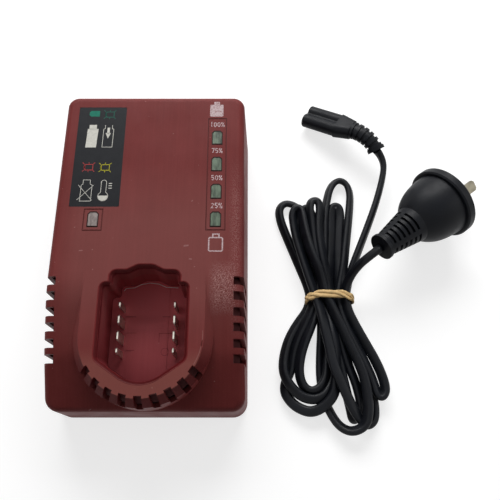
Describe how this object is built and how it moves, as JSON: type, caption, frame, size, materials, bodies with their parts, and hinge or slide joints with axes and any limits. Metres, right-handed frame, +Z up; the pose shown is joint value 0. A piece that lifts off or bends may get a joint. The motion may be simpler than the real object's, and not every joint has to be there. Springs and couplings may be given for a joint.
{
  "type": "power tool battery charger",
  "caption": "Maroon desktop charger for stem-type tool batteries, round-nosed pocket, fuel gauge, with its detachable black mains cord in a banded hank.",
  "frame": {"origin": "under the middle of the charger's case, on the surface that it stands on", "axes": "+X to the charger's right, +Y from its front towards its rear, +Z up"},
  "size_m": [0.2387, 0.2124, 0.053],
  "materials": {
    "shell_plastic": "maroon ABS, fine spark-eroded texture",
    "pocket_plastic": "maroon, smoother moulding",
    "label_film": "charcoal printed film",
    "board": "green solder mask",
    "link_cable": "grey ribbon cable",
    "inlet_plastic": "black",
    "ferrite": "dark grey ferrite",
    "bobbin": "amber tape over the winding",
    "can_sleeve": "black shrink sleeve",
    "film_box": "yellow box",
    "fuse_body": "brown",
    "heat_sink": "mill finish",
    "package": "black epoxy",
    "flex_pvc": "black satin PVC",
    "plug_pvc": "black satin PVC",
    "band_rubber": "tan natural rubber",
    "contact_metal": "plated spring brass",
    "lens_plastic": "translucent, faintly green",
    "lamp_body": "white LED body",
    "pin_brass": "nickel-plated brass",
    "screw_steel": "zinc-plated steel",
    "foot_rubber": "black rubber",
    "blade_sleeve": "black insulation",
    "blade_brass": "dull nickel-plated brass"
  },
  "bodies": {
    "root": {"board_link": "link_cable", "bulk_capacitor": "can_sleeve", "c7_connector_body": "flex_pvc", "choke": "ferrite", "connector_sleeve_left": "pin_brass", "connector_sleeve_right": "pin_brass", "contact_left_1": "contact_metal", "contact_left_2": "contact_metal", "contact_left_3": "contact_metal", "contact_left_4": "contact_metal", "contact_right_1": "contact_metal", "contact_right_2": "contact_metal", "contact_right_3": "contact_metal", "contact_right_4": "contact_metal", "cord_hank": "flex_pvc", "cord_lead_connector": "flex_pvc", "cord_lead_plug": "flex_pvc", "filter_capacitor": "film_box", "foot_1": "foot_rubber", "foot_2": "foot_rubber", "foot_3": "foot_rubber", "foot_4": "foot_rubber", "fuse": "fuse_body", "gauge_lamp_1": "lamp_body", "gauge_lamp_2": "lamp_body", "gauge_lamp_3": "lamp_body", "gauge_lamp_4": "lamp_body", "gauge_lens_1": "lens_plastic", "gauge_lens_2": "lens_plastic", "gauge_lens_3": "lens_plastic", "gauge_lens_4": "lens_plastic", "heat_sink_output": "heat_sink", "heat_sink_primary": "heat_sink", "inlet_housing": "inlet_plastic", "inlet_pin_left": "pin_brass", "inlet_pin_right": "pin_brass", "lamp_board": "board", "legend_label": "label_film", "lower_shell": "shell_plastic", "main_board": "board", "output_capacitor_1": "can_sleeve", "output_capacitor_2": "can_sleeve", "output_rectifier": "package", "plug_blade_left": "blade_brass", "plug_blade_right": "blade_brass", "plug_blade_sleeve_left": "blade_sleeve", "plug_blade_sleeve_right": "blade_sleeve", "plug_body": "plug_pvc", "rubber_band": "band_rubber", "screw_1": "screw_steel", "screw_2": "screw_steel", "screw_3": "screw_steel", "screw_4": "screw_steel", "status_lamp": "lamp_body", "status_lens": "lens_plastic", "switching_transistor": "package", "terminal_block": "pocket_plastic", "transformer_core": "ferrite", "transformer_winding": "bobbin", "upper_shell": "shell_plastic"}
  },
  "joints": []
}
